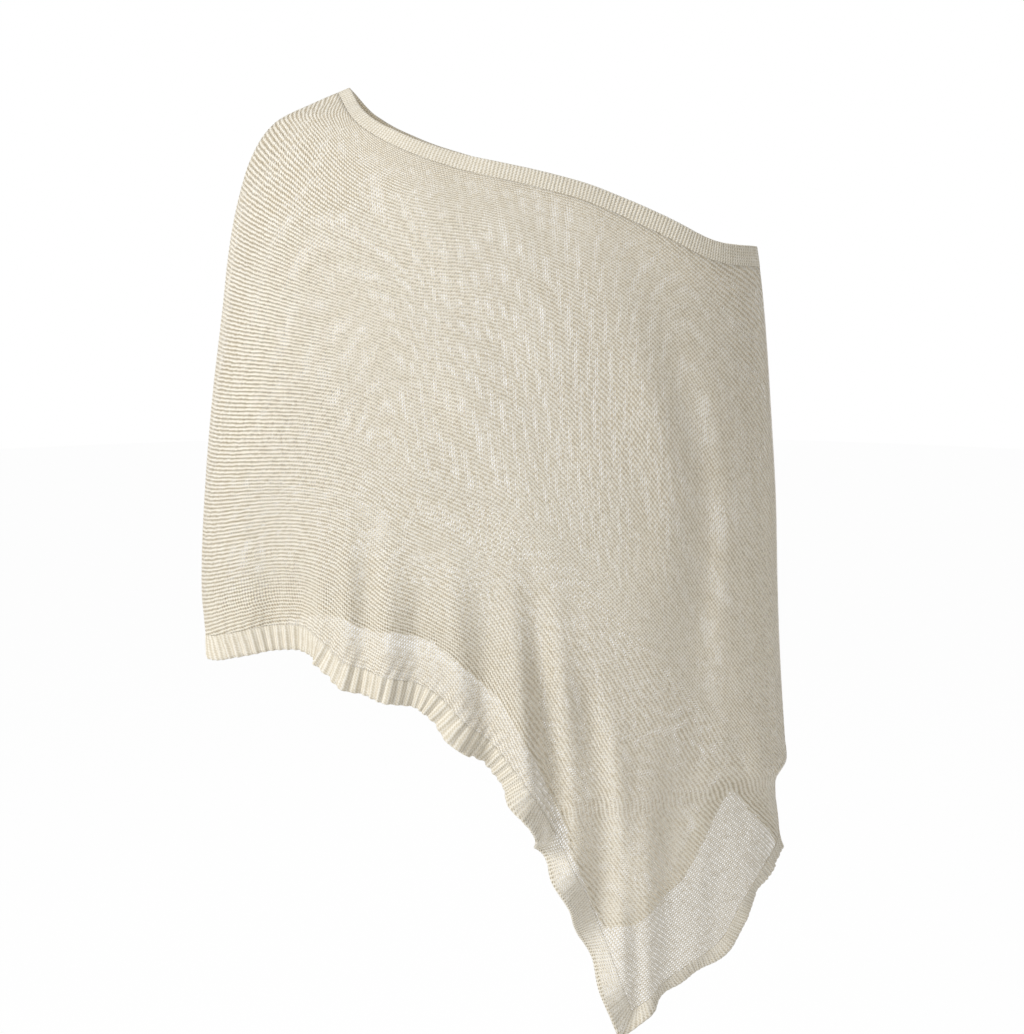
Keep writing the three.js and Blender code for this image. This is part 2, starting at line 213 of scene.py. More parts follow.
class DrapeForm:
    """Rings of cloth round the shoulders, arms and body, as half rings for each side."""

    steps = 72

    def __init__(self, rows: Sequence[FormRow]) -> None:
        """Keep the rows, which run from the top down."""
        self.rows = rows
        self.heights = np.array([row.z for row in rows])

    def value(self, z: np.ndarray, column: str) -> np.ndarray:
        """Read one column of the form at heights z, through the rows on a smooth curve.

        Args:
            z: heights in millimetres.
            column: the name of a field of FormRow.

        Returns:
            The column's value at each height.
        """
        values = np.array([getattr(row, column) for row in self.rows])
        last = len(values) - 1
        row = np.clip(np.searchsorted(-self.heights, -z, side="right") - 1, 0, last - 1)
        above, below = np.maximum(row - 1, 0), np.minimum(row + 2, last)
        span = self.heights[row + 1] - self.heights[row]
        t = np.clip((z - self.heights[row]) / span, 0, 1)
        rise_in = span * (values[row + 1] - values[above])
        rise_in = rise_in / (self.heights[row + 1] - self.heights[above])
        rise_out = span * (values[below] - values[row])
        rise_out = rise_out / (self.heights[below] - self.heights[row])
        square, cube = t * t, t * t * t
        return (
            (2 * cube - 3 * square + 1) * values[row]
            + (cube - 2 * square + t) * rise_in
            + (3 * square - 2 * cube) * values[row + 1]
            + (cube - square) * rise_out
        )

    def half_rings(self, z: np.ndarray, side: Side) -> tuple[np.ndarray, np.ndarray, np.ndarray]:
        """Work out half a ring at each height.

        Args:
            z: N heights in millimetres.
            side: front or back.

        Returns:
            x, y and the length run so far, each N by steps + 1, from the wearer's right.
        """
        z = z[:, None]
        angle = math.pi * (1 - np.arange(self.steps + 1)[None, :] / self.steps)
        cosine, sine = np.cos(angle), np.sin(angle)
        half = np.where(cosine < 0, self.value(z, "right"), self.value(z, "left"))
        depth, square = self.value(z, side.word), self.value(z, "square")
        reach = ((np.abs(cosine) / half) ** square + (sine / depth) ** square) ** (-1 / square)
        x, y = reach * cosine, side.value * reach * sine
        stride = np.hypot(np.diff(x, axis=1), np.diff(y, axis=1))
        run = np.concatenate([np.zeros_like(x[:, :1]), np.cumsum(stride, axis=1)], axis=1)
        return x, y, run

    @staticmethod
    def read(known: np.ndarray, target: np.ndarray, *columns: np.ndarray) -> list[np.ndarray]:
        """Read columns of half rings where a rising column reaches a target.

        Args:
            known: the rising column, N by steps + 1.
            target: the N values to look for.
            columns: the columns to read, each N by steps + 1.

        Returns:
            The N values of each column.
        """
        index = np.clip((known < target[:, None]).sum(axis=1), 1, known.shape[1] - 1)
        pick = np.arange(len(target))
        start, end = known[pick, index - 1], known[pick, index]
        share = np.clip((target - start) / (end - start), 0, 1)
        return [
            column[pick, index - 1] + share * (column[pick, index] - column[pick, index - 1])
            for column in columns
        ]

    def on_ring(self, u: np.ndarray, z: np.ndarray, side: Side) -> np.ndarray:
        """Find points on the half rings.

        Args:
            u: shares of the way along a half ring, from the wearer's right.
            z: the rings' heights in millimetres.
            side: front or back.

        Returns:
            The points, N by 3, in millimetres.
        """
        x, y, run = self.half_rings(z, side)
        found = self.read(run, np.clip(u, 0, 1) * run[:, -1], x, y)
        return np.stack([*found, z], axis=1)

    def share_at(self, x: np.ndarray, z: np.ndarray, side: Side) -> np.ndarray:
        """Find where half rings pass a place seen from the front.

        Args:
            x: the places in millimetres.
            z: the rings' heights in millimetres.
            side: front or back.

        Returns:
            The shares of the way along the rings.
        """
        ring_x, _, run = self.half_rings(z, side)
        (length,) = self.read(ring_x, x, run)
        return length / run[:, -1]


def smooth_ramp(value: np.ndarray, start: float, end: float) -> np.ndarray:
    """Rise smoothly from 0 to 1.

    Args:
        value: where to read the ramp.
        start: where it leaves 0.
        end: where it reaches 1, above or below the start.

    Returns:
        The ramp at each value.
    """
    t = np.clip((value - start) / (end - start), 0, 1)
    return t * t * (3 - 2 * t)


def fold_heights(points: np.ndarray, folds: Sequence[Fold]) -> np.ndarray:
    """Add up how far the folds lift the cloth at each point, in millimetres.

    Args:
        points: N by 3, in millimetres.
        folds: the folds of one side.

    Returns:
        The lift at each point.
    """
    x, z = points[:, 0], points[:, 2]
    total = np.zeros(len(points))
    for fold in folds:
        grown = smooth_ramp(z, fold.z_top, fold.z_full)
        faded = 1 - smooth_ramp(z, fold.z_end + fold.fade, fold.z_end)
        way = np.clip((z - fold.z_top) / (fold.z_full - fold.z_top), 0, FOLD_DRIFT)
        middle = fold.x_top + way * (fold.x_full - fold.x_top)
        shape = np.exp(-(((x - middle) / fold.half_width) ** 2))
        total += fold.height * grown * faded * shape
    return total


class Drape:
    """The whole drape of one side: the ring form with its folds, creases and ripples."""

    def __init__(self, form: DrapeForm, side: Side) -> None:
        """Keep the form and the side."""
        self.form = form
        self.side = side

    def point(self, u: np.ndarray, z: np.ndarray) -> np.ndarray:
        """Find points on the draped cloth.

        Args:
            u: shares of the way along the half rings.
            z: heights in millimetres.

        Returns:
            The points, N by 3, in millimetres.
        """
        points = self.form.on_ring(u, z, self.side)
        facing = np.sin(math.pi * np.clip(u, 0, 1)) ** FACING_POWER
        lift = fold_heights(points, MAIN_FOLDS[self.side])
        lift += fold_heights(points, CREASES[self.side])
        for ripple in RIPPLES:
            wave = ripple.across * points[:, 0] + ripple.down * points[:, 2] + ripple.phase
            lift += ripple.height * np.sin(wave)
        points[:, 1] += self.side.value * lift * facing
        return points


# ---------------------------------------------------------------------------------------
# Panels as four edges
# ---------------------------------------------------------------------------------------

NECK_SEAM = {
    Side.FRONT: (
        (-141, -4), (-121, -33), (-84, -57), (-30, -77), (30, -91), (82, -105),
        (142, -130), (200, -156), (248, -161),
    ),
    Side.BACK: (
        (-141, -4), (-118, -28), (-80, -48), (-28, -66), (30, -80), (84, -95),
        (144, -122), (200, -151), (248, -161),
    ),
}
HEM_SEAM = (
    (-281, -512), (-250, -501), (-205, -490), (-168, -490), (-132, -512), (-92, -522),
    (-54, -534), (-26, -560), (6, -590), (36, -628), (57, -672), (85, -732),
    (114, -808), (133, -862),
)
TAIL_SEAM = {
    Side.FRONT: (
        (288, -716), (264, -740), (242, -770), (221, -805), (184, -826), (133, -862),
    ),
    Side.BACK: (
        (288, -716), (263, -690), (241, -683), (223, -712), (209, -750), (192, -790),
        (172, -824), (152, -852), (133, -862),
    ),
}


class RowChart:
    """How many knitted rows lie above each place of a panel, from counts at a few places."""

    across = (0.0, 0.2, 0.4, 0.6, 0.8, 1.0)
    down = (0.0, 0.25, 0.5, 0.75, 1.0)
    counts = (
        (0, -14, -12, -11, -17, -24),
        (30, 23, 31, 28, 16, 5),
        (64, 69, 69, 55, 46, 42),
        (100, 106, 101, 89, 82, 86),
        (135, 139, 137, 125, 127, 139),
    )

    @staticmethod
    def weights(share: np.ndarray, places: Sequence[float]) -> np.ndarray:
        """Weigh evenly set places for a smooth curve through their values.

        Args:
            share: N shares of the way along.
            places: the shares that values are known at.

        Returns:
            The weight of each place at each share, N by the number of places.
        """
        last = len(places) - 1
        place = np.clip(share, 0, 1) * last
        start = np.minimum(place.astype(int), last - 1)
        t = place - start
        cubic = (
            -0.5 * t**3 + t**2 - 0.5 * t,
            1.5 * t**3 - 2.5 * t**2 + 1,
            -1.5 * t**3 + 2 * t**2 + 0.5 * t,
            0.5 * t**3 - 0.5 * t**2,
        )
        table = np.zeros((len(share), last + 1))
        pick = np.arange(len(share))
        for step, weight in zip((-1, 0, 1, 2), cubic):
            index = start + step
            inner = np.clip(index, 0, last)
            beyond = index != inner
            table[pick, inner] += np.where(beyond, 2 * weight, weight)
            table[pick, np.clip(2 * inner - index, 0, last)] -= np.where(beyond, weight, 0)
        return table

    def row_number(self, s: np.ndarray, t: np.ndarray) -> np.ndarray:
        """Count the knitted rows down to places of the panel.

        Args:
            s: shares of the way across.
            t: shares of the way down.

        Returns:
            The count at each place.
        """
        along = self.weights(s, self.across)
        downwards = self.weights(t, self.down)
        return np.einsum("ni,ij,nj->n", downwards, np.array(self.counts, dtype=float), along)


def curve_through(rows: Sequence[tuple[float, float]], count: int) -> np.ndarray:
    """Run a centripetal Catmull-Rom curve through rows of (x, z).

    Args:
        rows: the places the curve passes.
        count: how many steps it is sampled in, even in the rows' own measure.

    Returns:
        count + 1 rows of (x, z).
    """
    points = [np.array(row, dtype=float) for row in rows]
    first, last = 2 * points[0] - points[1], 2 * points[-1] - points[-2]
    points = [first, *points, last]
    samples = []
    for step in range(count + 1):
        place = step / count * (len(rows) - 1)
        span = min(int(place), len(rows) - 2)
        a, b, c, d = points[span:span + 4]
        gaps = [max(np.linalg.norm(q - p) ** 0.5, 1e-6) for p, q in ((a, b), (b, c), (c, d))]
        rise_b = (b - a) / gaps[0] - (c - a) / (gaps[0] + gaps[1]) + (c - b) / gaps[1]
        rise_c = (c - b) / gaps[1] - (d - b) / (gaps[1] + gaps[2]) + (d - c) / gaps[2]
        rise_b, rise_c = rise_b * gaps[1], rise_c * gaps[1]
        t = place - span
        samples.append(
            (2 * t**3 - 3 * t**2 + 1) * b
            + (t**3 - 2 * t**2 + t) * rise_b
            + (3 * t**2 - 2 * t**3) * c
            + (t**3 - t**2) * rise_c
        )
    return np.array(samples)


class Edge:
    """An edge of a panel: ring shares and heights, read by the share of its length."""

    steps = 160

    def __init__(self, drape: Drape, u: np.ndarray, z: np.ndarray) -> None:
        """Keep the places and measure the length run at each.

        Args:
            drape: the side's drape.
            u: the places' ring shares.
            z: their heights in millimetres.
        """
        self.u, self.z = u, z
        strides = np.linalg.norm(np.diff(drape.point(u, z), axis=0), axis=1)
        self.run = np.concatenate([[0.0], np.cumsum(strides)])

    @classmethod
    def through(
        cls, drape: Drape, rows: Sequence[tuple[float, float]],
        first: float | None = None, last: float | None = None,
    ) -> "Edge":
        """Make an edge through seam rows of (x, z).

        Args:
            drape: the side's drape.
            rows: the seam's places seen from the front, in millimetres.
            first: the ring share that the first place is held to, if any.
            last: the ring share that the last place is held to, if any.

        Returns:
            The edge.
        """
        places = curve_through(rows, cls.steps)
        u = drape.form.share_at(places[:, 0], places[:, 1], drape.side)
        u[0] = u[0] if first is None else first
        u[-1] = u[-1] if last is None else last
        return cls(drape, u, places[:, 1])

    @classmethod
    def arm_line(cls, drape: Drape, u: float, top: float, bottom: float) -> "Edge":
        """Make an edge that follows an arm line.

        Args:
            drape: the side's drape.
            u: the ring share of the arm line, 0 or 1.
            top: the height it starts at, in millimetres.
            bottom: the height it ends at, in millimetres.

        Returns:
            The edge.
        """
        z = np.linspace(top, bottom, cls.steps + 1)
        return cls(drape, np.full_like(z, u), z)

    def joined(self, other: "Edge") -> "Edge":
        """Add another edge to this one's end.

        Args:
            other: an edge that starts where this one ends.

        Returns:
            The whole edge.
        """
        both = object.__new__(Edge)
        both.u = np.concatenate([self.u, other.u[1:]])
        both.z = np.concatenate([self.z, other.z[1:]])
        both.run = np.concatenate([self.run, self.run[-1] + other.run[1:]])
        return both

    def at(self, share: np.ndarray) -> tuple[np.ndarray, np.ndarray]:
        """Read the edge at shares of its length.

        Args:
            share: the shares.

        Returns:
            The ring shares and the heights there.
        """
        target = np.clip(share, 0, 1) * self.run[-1]
        return np.interp(target, self.run, self.u), np.interp(target, self.run, self.z)


class PanelMap:
    """A panel's surface: s runs across it from the wearer's right and t down."""

    chart = RowChart()
    slope_step = 0.004

    def __init__(self, drape: Drape) -> None:
        """Lay out the panel's four edges.

        Args:
            drape: the drape of the panel's side.
        """
        side = drape.side
        neck_rows, tail_rows = NECK_SEAM[side], TAIL_SEAM[side]
        self.drape, self.side = drape, side
        self.neck = Edge.through(drape, neck_rows, first=0.0, last=1.0)
        self.hem = Edge.through(drape, HEM_SEAM, first=0.0)
        self.right_arm = Edge.arm_line(drape, 0.0, neck_rows[0][1], HEM_SEAM[0][1])
        left_arm = Edge.arm_line(drape, 1.0, neck_rows[-1][1], tail_rows[0][1])
        self.outer = left_arm.joined(Edge.through(drape, tail_rows, first=1.0))
        self.side_point = left_arm.run[-1] / self.outer.run[-1]
        ends = np.array([0.0, 1.0])
        self.corners = [edge.at(ends) for edge in (self.neck, self.hem)]

    def point(self, s: np.ndarray, t: np.ndarray) -> np.ndarray:
        """Find points of the panel, blended in from its four edges.

        Args:
            s: shares of the way across, from the wearer's right.
            t: shares of the way down.

        Returns:
            The points, N by 3, in millimetres.
        """
        top, bottom = self.neck.at(s), self.hem.at(s)
        first, last = self.right_arm.at(t), self.outer.at(t)
        blended = []
        for k in range(2):
            upper, lower = self.corners[0][k], self.corners[1][k]
            blended.append(
                (1 - t) * top[k] + t * bottom[k] + (1 - s) * first[k] + s * last[k]
                - (1 - s) * (1 - t) * upper[0] - s * (1 - t) * upper[1]
                - (1 - s) * t * lower[0] - s * t * lower[1]
            )
        return self.drape.point(blended[0], blended[1])

    def row_number(self, s: np.ndarray, t: np.ndarray) -> np.ndarray:
        """Count the knitted rows down to s and t."""
        return self.chart.row_number(s, t)

    def normal(self, s: np.ndarray, t: np.ndarray) -> np.ndarray:
        """Find the outward normals, which are level at the side seams.

        Args:
            s: shares of the way across.
            t: shares of the way down.

        Returns:
            The unit normals, N by 3.
        """
        step = self.slope_step
        across = self.point(np.minimum(s + step, 1), t) - self.point(np.maximum(s - step, 0), t)
        down = self.point(s, np.minimum(t + step, 1)) - self.point(s, np.maximum(t - step, 0))
        out = np.cross(across, down) * self.side.value
        seam = (s <= 0) | ((s >= 1) & (t <= self.side_point))
        out[seam, 1] = 0
        return out / np.linalg.norm(out, axis=1, keepdims=True)


def to_frame(points: np.ndarray) -> np.ndarray:
    """Turn millimetres about the middle of the body into metres from the shoulder seat."""
    return (points - np.array(SHOULDER_SEAT_MM)) * MM


# ---------------------------------------------------------------------------------------
# Shader maths
# ---------------------------------------------------------------------------------------


class Channel:
    """A number in a shader. Arithmetic on it adds Math nodes."""

    def __init__(self, graph: "Graph", socket: bpy.types.NodeSocket) -> None:
        """Wrap one output socket of a graph."""
        self.graph, self.socket = graph, socket

    def math(self, operation: str, *values: Any, flip: bool = False) -> "Channel":
        """Add a Math node.

        Args:
            operation: the node's operation.
            values: up to two more numbers or channels.
            flip: put the other values before this channel.

        Returns:
            The node's result.
        """
        inputs = [*reversed([self, *values])] if flip else [self, *values]
        node = self.graph.node(
            "ShaderNodeMath", {"operation": operation}, dict(enumerate(inputs)))
        return Channel(self.graph, node.outputs[0])

    def __add__(self, other: Any) -> "Channel":
        """Add."""
        return self.math("ADD", other)

    def __sub__(self, other: Any) -> "Channel":
        """Subtract."""
        return self.math("SUBTRACT", other)

    def __rsub__(self, other: Any) -> "Channel":
        """Subtract this channel from a number."""
        return self.math("SUBTRACT", other, flip=True)

    def __mul__(self, other: Any) -> "Channel":
        """Multiply."""
        return self.math("MULTIPLY", other)

    __radd__ = __add__
    __rmul__ = __mul__

    def cosine(self) -> "Channel":
        """Take the cosine of this channel counted in whole turns, moved to 0 to 1."""
        return (self * TURN).math("COSINE") * 0.5 + 0.5

    def sine(self) -> "Channel":
        """Take the sine of this channel counted in whole turns."""
        return (self * TURN).math("SINE")

    def largest(self, other: Any) -> "Channel":
        """Take the larger of two values."""
        return self.math("MAXIMUM", other)

    def smallest(self, other: Any) -> "Channel":
        """Take the smaller of two values."""
        return self.math("MINIMUM", other)

    def ramp(self, low: Any, high: Any) -> "Channel":
        """Rise smoothly from 0 to 1.

        Args:
            low: where it leaves 0.
            high: where it reaches 1; below low it falls instead.

        Returns:
            The ramp.
        """
        node = self.graph.node(
            "ShaderNodeMapRange", {"interpolation_type": "SMOOTHSTEP"},
            {"Value": self, "From Min": low, "From Max": high})
        return Channel(self.graph, node.outputs["Result"])


class Graph:
    """The node tree of a material or of the world."""

    def __init__(self, owner: bpy.types.Material | bpy.types.World, output: str) -> None:
        """Empty the owner's tree and add an output node.

        Args:
            owner: the material or world.
            output: the output node's type.
        """
        owner.use_nodes = True
        self.owner = owner
        self.tree = owner.node_tree
        self.tree.nodes.clear()
        self.output = self.node(output, {}, {})

    @classmethod
    def of_material(cls, name: str) -> "Graph":
        """Start a new material."""
        return cls(bpy.data.materials.new(name), "ShaderNodeOutputMaterial")

    def node(self, kind: str, settings: dict[str, Any], inputs: dict[Any, Any]) -> bpy.types.Node:
        """Add a node.

        Args:
            kind: the node's type.
            settings: properties set before the inputs.
            inputs: socket name or number to a value, channel or socket.

        Returns:
            The new node.
        """
        node = self.tree.nodes.new(kind)
        for key, value in settings.items():
            setattr(node, key, value)
        for key, value in inputs.items():
            self.feed(node.inputs[key], value)
        return node

    def feed(self, socket: bpy.types.NodeSocket, value: Any) -> None:
        """Link a channel or socket to an input, or set the input's own value."""
        if isinstance(value, Channel):
            self.tree.links.new(value.socket, socket)
        elif isinstance(value, bpy.types.NodeSocket):
            self.tree.links.new(value, socket)
        else:
            socket.default_value = value

    def map_places(self, name: str) -> tuple[Channel, Channel, bpy.types.NodeSocket]:
        """Read one of the piece's own maps.

        Args:
            name: the map's name.

        Returns:
            Its first and second number, and both as a vector.
        """
        source = self.node("ShaderNodeUVMap", {"uv_map": name}, {})
        parts = self.node("ShaderNodeSeparateXYZ", {}, {0: source.outputs[0]})
        first, second = parts.outputs[:2]
        return Channel(self, first), Channel(self, second), source.outputs[0]

    def seen_rays(self) -> Channel:
        """Read 1 for rays that show the view itself, straight or by gloss or glass."""
        path = self.node("ShaderNodeLightPath", {}, {})
        seen = Channel(self, path.outputs["Is Camera Ray"])
        for kind in ("Is Glossy Ray", "Is Transmission Ray"):
            seen = seen.largest(Channel(self, path.outputs[kind]))
        return seen

    def noise(self, vector: Any, scale: float, detail: float = 2.0) -> Channel:
        """Add a noise.

        Args:
            vector: what it is drawn over.
            scale: its waves in a unit of the vector.
            detail: how many finer waves are added.

        Returns:
            The noise, 0 to 1.
        """
        node = self.node(
            "ShaderNodeTexNoise", {},
            {"Vector": vector, "Scale": scale, "Detail": detail, "Roughness": 0.55})
        return Channel(self, node.outputs["Fac"])

    def cell_random(self, along: Channel, rows: Channel) -> Channel:
        """Give each stitch its own number.

        Args:
            along: the stitch count.
            rows: the row count.

        Returns:
            The number, 0 to 1.
        """
        corner = self.node("ShaderNodeCombineXYZ", {}, {
            0: along.math("ROUND"), 1: rows.math("FLOOR"), 2: 0.0})
        cell = self.node(
            "ShaderNodeTexWhiteNoise", {"noise_dimensions": "3D"}, {"Vector": corner.outputs[0]})
        return Channel(self, cell.outputs["Value"])

    def colour_mix(self, share: Channel, first: Sequence[float], second: Any) -> Any:
        """Mix two colours.

        Args:
            share: how much of the second there is.
            first: a colour.
            second: a colour or a socket.

        Returns:
            The mixed colour's socket.
        """
        node = self.node("ShaderNodeMix", {"data_type": "RGBA"}, {"Factor": share})
        self.feed(node.inputs[6], first)
        self.feed(node.inputs[7], second)
        return node.outputs[2]

    def finish(self, shader: bpy.types.Node) -> bpy.types.Material | bpy.types.World:
        """Link a shader to the output and return the tree's owner."""
        self.tree.links.new(shader.outputs[0], self.output.inputs["Surface"])
        return self.owner


def linear(red: int, green: int, blue: int) -> tuple[float, float, float, float]:
    """Turn a colour as it is seen into a linear one.

    Args:
        red: its red, 0 to 255.
        green: its green, 0 to 255.
        blue: its blue, 0 to 255.

    Returns:
        The linear colour with an alpha of 1.
    """
    steps = [value / 255 for value in (red, green, blue)]
    parts = [v / 12.92 if v <= 0.04045 else ((v + 0.055) / 1.055) ** 2.4 for v in steps]
    return (*parts, 1.0)


# ---------------------------------------------------------------------------------------
# Finishes
# ---------------------------------------------------------------------------------------


@dataclass(frozen=True)
class Yarn:
    """The yarn's colours: the painted highlight on the stitch tops, the yarn's own body colour, and
    the painted shade deep between the stitches.
    """

    # top is the painted highlight on the stitch tops; the colour after body is the painted shade
    # between the stitches.
    top: tuple[float, float, float, float] = linear(251, 246, 234)
    body: tuple[float, float, float, float] = linear(240, 232, 213)
    painted_shade: tuple[float, float, float, float] = linear(208, 194, 168)


@dataclass(frozen=True)
class KnitFinish:
    """Knit seen from its purl side: wavy rows of bumps with see-through holes between.

    The scales are in waves a stitch, the waves and wanders in rows or stitches, and the
    ranges of ridge and leg run from 0 between the loops to 1 on them. The colour holds
    painted shade between the loops and a painted highlight on their tops, mixed with
    random tone from stitch to stitch.
    """

    name: str
    yarn: Yarn = field(default_factory=Yarn)
    slow_scale: float = 0.09
    middle_scale: float = 0.31
    quick_scale: float = 0.8
    fuzz_scale: float = 4.5
    row_wave: float = 0.13
    row_wander: float = 0.6
    quick_row_wander: float = 0.3
    stitch_wander: float = 0.9
    quick_stitch_wander: float = 0.5
    hole_height: tuple[float, float] = (0.66, 0.42)
    hole_width: tuple[float, float] = (0.95, 0.6)
    size_range: tuple[float, float] = (0.35, 1.25)
    size_change: float = 0.5
    closed: float = 0.9
    # Where the painted shade between the loops gives way to the body colour, and where the painted
    # highlight on their tops begins.
    lit_range: tuple[float, float] = (0.1, 1.1)
    painted_highlight_range: tuple[float, float] = (0.8, 1.45)
    bump_distance: float = 0.0008
    bump_strength: float = 0.42
    roughness: float = 0.95
    ridge_gloss: float = 0.1
    specular: float = 0.2
    sheen: float = 0.2
    sheen_roughness: float = 0.5

    def build(self) -> bpy.types.Material:
        """Make the material."""
        graph = Graph.of_material(self.name)
        along, rows, vector = graph.map_places(StitchSheet.stitch_map)
        slow = graph.noise(vector, self.slow_scale, 3.0)
        middle = graph.noise(vector, self.middle_scale)
        quick = graph.noise(vector, self.quick_scale)
        fuzz = graph.noise(vector, self.fuzz_scale, 3.0)
        along = along + (slow - 0.5) * self.stitch_wander + (quick - 0.5) * self.quick_stitch_wander
        rows = rows + (middle - 0.5) * self.row_wander + (quick - 0.5) * self.quick_row_wander
        rows = rows + along.sine() * self.row_wave
        loop = graph.cell_random(along, rows)
        ridge, leg = rows.cosine(), along.cosine()
        size = (loop * 0.8 + slow * 0.6 + middle * 0.5).ramp(*self.size_range)
        size = size * self.size_change + 1 - self.size_change * 0.5
        made_open, _, _ = graph.map_places(StitchSheet.opening_map)
        opening = ridge.ramp(*self.hole_height) * leg.ramp(*self.hole_width) * size * made_open
        height = ridge + leg * 0.6 + quick * 0.6 + loop * 0.35 + fuzz * 0.15
        # Painted shade and highlight: lit runs from the painted shade between rows and legs to the
        # body colour, and the highlight share lightens the ridge tops towards the top colour; the
        # loop and fuzz parts add random tone.
        lit = (ridge * 0.8 + leg * 0.15 + loop * 0.25 + fuzz * 0.25).ramp(*self.lit_range)
        painted_highlight = (ridge + loop * 0.35 + fuzz * 0.3).ramp(*self.painted_highlight_range)
        base = graph.colour_mix(lit, self.yarn.painted_shade, self.yarn.body)
        bump = graph.node("ShaderNodeBump", {}, {
            "Strength": self.bump_strength,
            "Distance": self.bump_distance,
            "Height": height,
        })
        return graph.finish(graph.node("ShaderNodeBsdfPrincipled", {}, {
            "Base Color": graph.colour_mix(painted_highlight, base, self.yarn.top),
            "Roughness": self.roughness - ridge * self.ridge_gloss,
            "Normal": bump.outputs[0],
            "Alpha": (1 - opening.smallest(1.0)) * self.closed,
            "Specular IOR Level": self.specular,
            "Sheen Weight": self.sheen,
            "Sheen Roughness": self.sheen_roughness,
        }))


# ---------------------------------------------------------------------------------------
# Meshes
# ---------------------------------------------------------------------------------------


class StitchSheet:
    """A grid sheet laid on given points, with a map that counts stitches and rows."""

    stitch_map = "stitches"
    opening_map = "opening"

    def __init__(self, name: str, columns: int, rows: int) -> None:
        """Keep the name and the number of columns and rows of faces."""
        self.name, self.columns, self.rows = name, columns, rows

    def shares(self) -> tuple[np.ndarray, np.ndarray]:
        """Give the shares across and down of the grid's points, row by row."""
        across = np.linspace(0, 1, self.columns + 1)
        down = np.linspace(0, 1, self.rows + 1)
        grid_across, grid_down = np.meshgrid(across, down)
        return grid_across.ravel(), grid_down.ravel()

    def build(
        self, points: np.ndarray, stitches: np.ndarray, opening: np.ndarray,
        outward: Sequence[float],
    ) -> bpy.types.Object:
        """Lay a grid on the points.

        Args:
            points: the place of each grid point in metres, row by row.
            stitches: the stitch and row count at each point, row by row.
            opening: how open the knit is at each point, 0 to 1, row by row.
            outward: a direction that the middle face looks along.

        Returns:
            The object, linked to the scene, with its faces outwards.
        """
        mesh = bmesh.new()
        bmesh.ops.create_grid(mesh, x_segments=self.columns, y_segments=self.rows, size=1.0)
        width = self.columns + 1
        place = {}
        for vertex in mesh.verts:
            column = round((vertex.co.x + 1) / 2 * self.columns)
            row = round((1 - vertex.co.y) / 2 * self.rows)
            place[vertex.index] = row * width + column
            vertex.co = points[row * width + column]
        stitch_layer = mesh.loops.layers.uv.new(self.stitch_map)
        opening_layer = mesh.loops.layers.uv.new(self.opening_map)
        for face in mesh.faces:
            face.smooth = True
            for loop in face.loops:
                corner = place[loop.vert.index]
                loop[stitch_layer].uv = stitches[corner]
                loop[opening_layer].uv = (opening[corner], 0)
        mesh.normal_update()
        mesh.faces.ensure_lookup_table()
        middle = mesh.faces[len(mesh.faces) // 2]
        if middle.normal.dot(Vector(outward)) < 0:
            bmesh.ops.reverse_faces(mesh, faces=mesh.faces)
        data = bpy.data.meshes.new(self.name)
        mesh.to_mesh(data)
        mesh.free()
        piece = bpy.data.objects.new(self.name, data)
        bpy.context.scene.collection.objects.link(piece)
        return piece


def thicken(piece: bpy.types.Object, thickness: float) -> None:
    """Give a sheet its thickness, half to each side.

    Args:
        piece: the sheet.
        thickness: in metres.
    """
    wall = piece.modifiers.new("wall", "SOLIDIFY")
    wall.thickness = thickness
    wall.offset = 0.0
    wall.use_rim = True


class BandEdge(Enum):
    """The panel edge that a rib band finishes."""

    NECK = "neck"
    HEM = "hem"
    TAIL = "tail"


@dataclass(frozen=True)
class RibStyle:
    """How one band is knitted, in millimetres.

    The relief and the opening change from their first value to their last between two
    shares of the length.
    """

    width_start: float
    width_end: float
    flute: float
    relief: tuple[float, float]
    opening: tuple[float, float]
    change: tuple[float, float]
    stitches_a_flute: float
    roll: float
    ruffle: float
    columns: int
    rows: int

    def changing(self, pair: tuple[float, float], share: np.ndarray) -> np.ndarray:
        """Give a value that changes from the first of a pair to the second, at each share."""
        return pair[0] + smooth_ramp(share, *self.change) * (pair[1] - pair[0])


RIB_STYLES = {
    BandEdge.NECK: RibStyle(
        width_start=11, width_end=19, flute=3.2, relief=(0.05, 0.45), opening=(0.3, 0.5),
        change=(0.3, 0.7), stitches_a_flute=1, roll=0.9, ruffle=0.3, columns=900, rows=10),
    BandEdge.HEM: RibStyle(
        width_start=24, width_end=22, flute=9.6, relief=(1.9, 0.15), opening=(0.12, 1.0),
        change=(0.5, 0.7), stitches_a_flute=3, roll=1.5, ruffle=1.2, columns=800, rows=14),
    BandEdge.TAIL: RibStyle(
        width_start=13, width_end=16, flute=5.6, relief=(0.3, 0.5), opening=(0.4, 0.2),
        change=(0.1, 0.8), stitches_a_flute=2, roll=2.0, ruffle=2.6, columns=320, rows=10),
}
# Lengths in millimetres: a stitch's width, how far up the panel the flutes fade, how near
# their ends the bands calm down, and how near a corner they turn to meet a neighbour.
STITCH = 2.6
FLUTE_FADE = 16.0
END_CALM = 6.0
CORNER_FADE = 9.0
# Shares: a flute's depth at the seam, its mean depth, how far flutes stray along the band,
# and how soon across the band they reach their depth.
SEAM_FLUTE = 0.6
MEAN_DEPTH = 0.75
FLUTE_STRAY = 0.2
FLUTE_FILL = 1.7
ROLL_TURN = math.radians(230)


@dataclass(frozen=True)
class Wave:
    """A wave along a band: its height, its length in millimetres a radian, and its start."""

    height: float
    length: float
    start: float = 0.0

    def at(self, run: np.ndarray) -> np.ndarray:
        """Give the wave at each length run."""
        return self.height * np.sin(run / self.length + self.start)


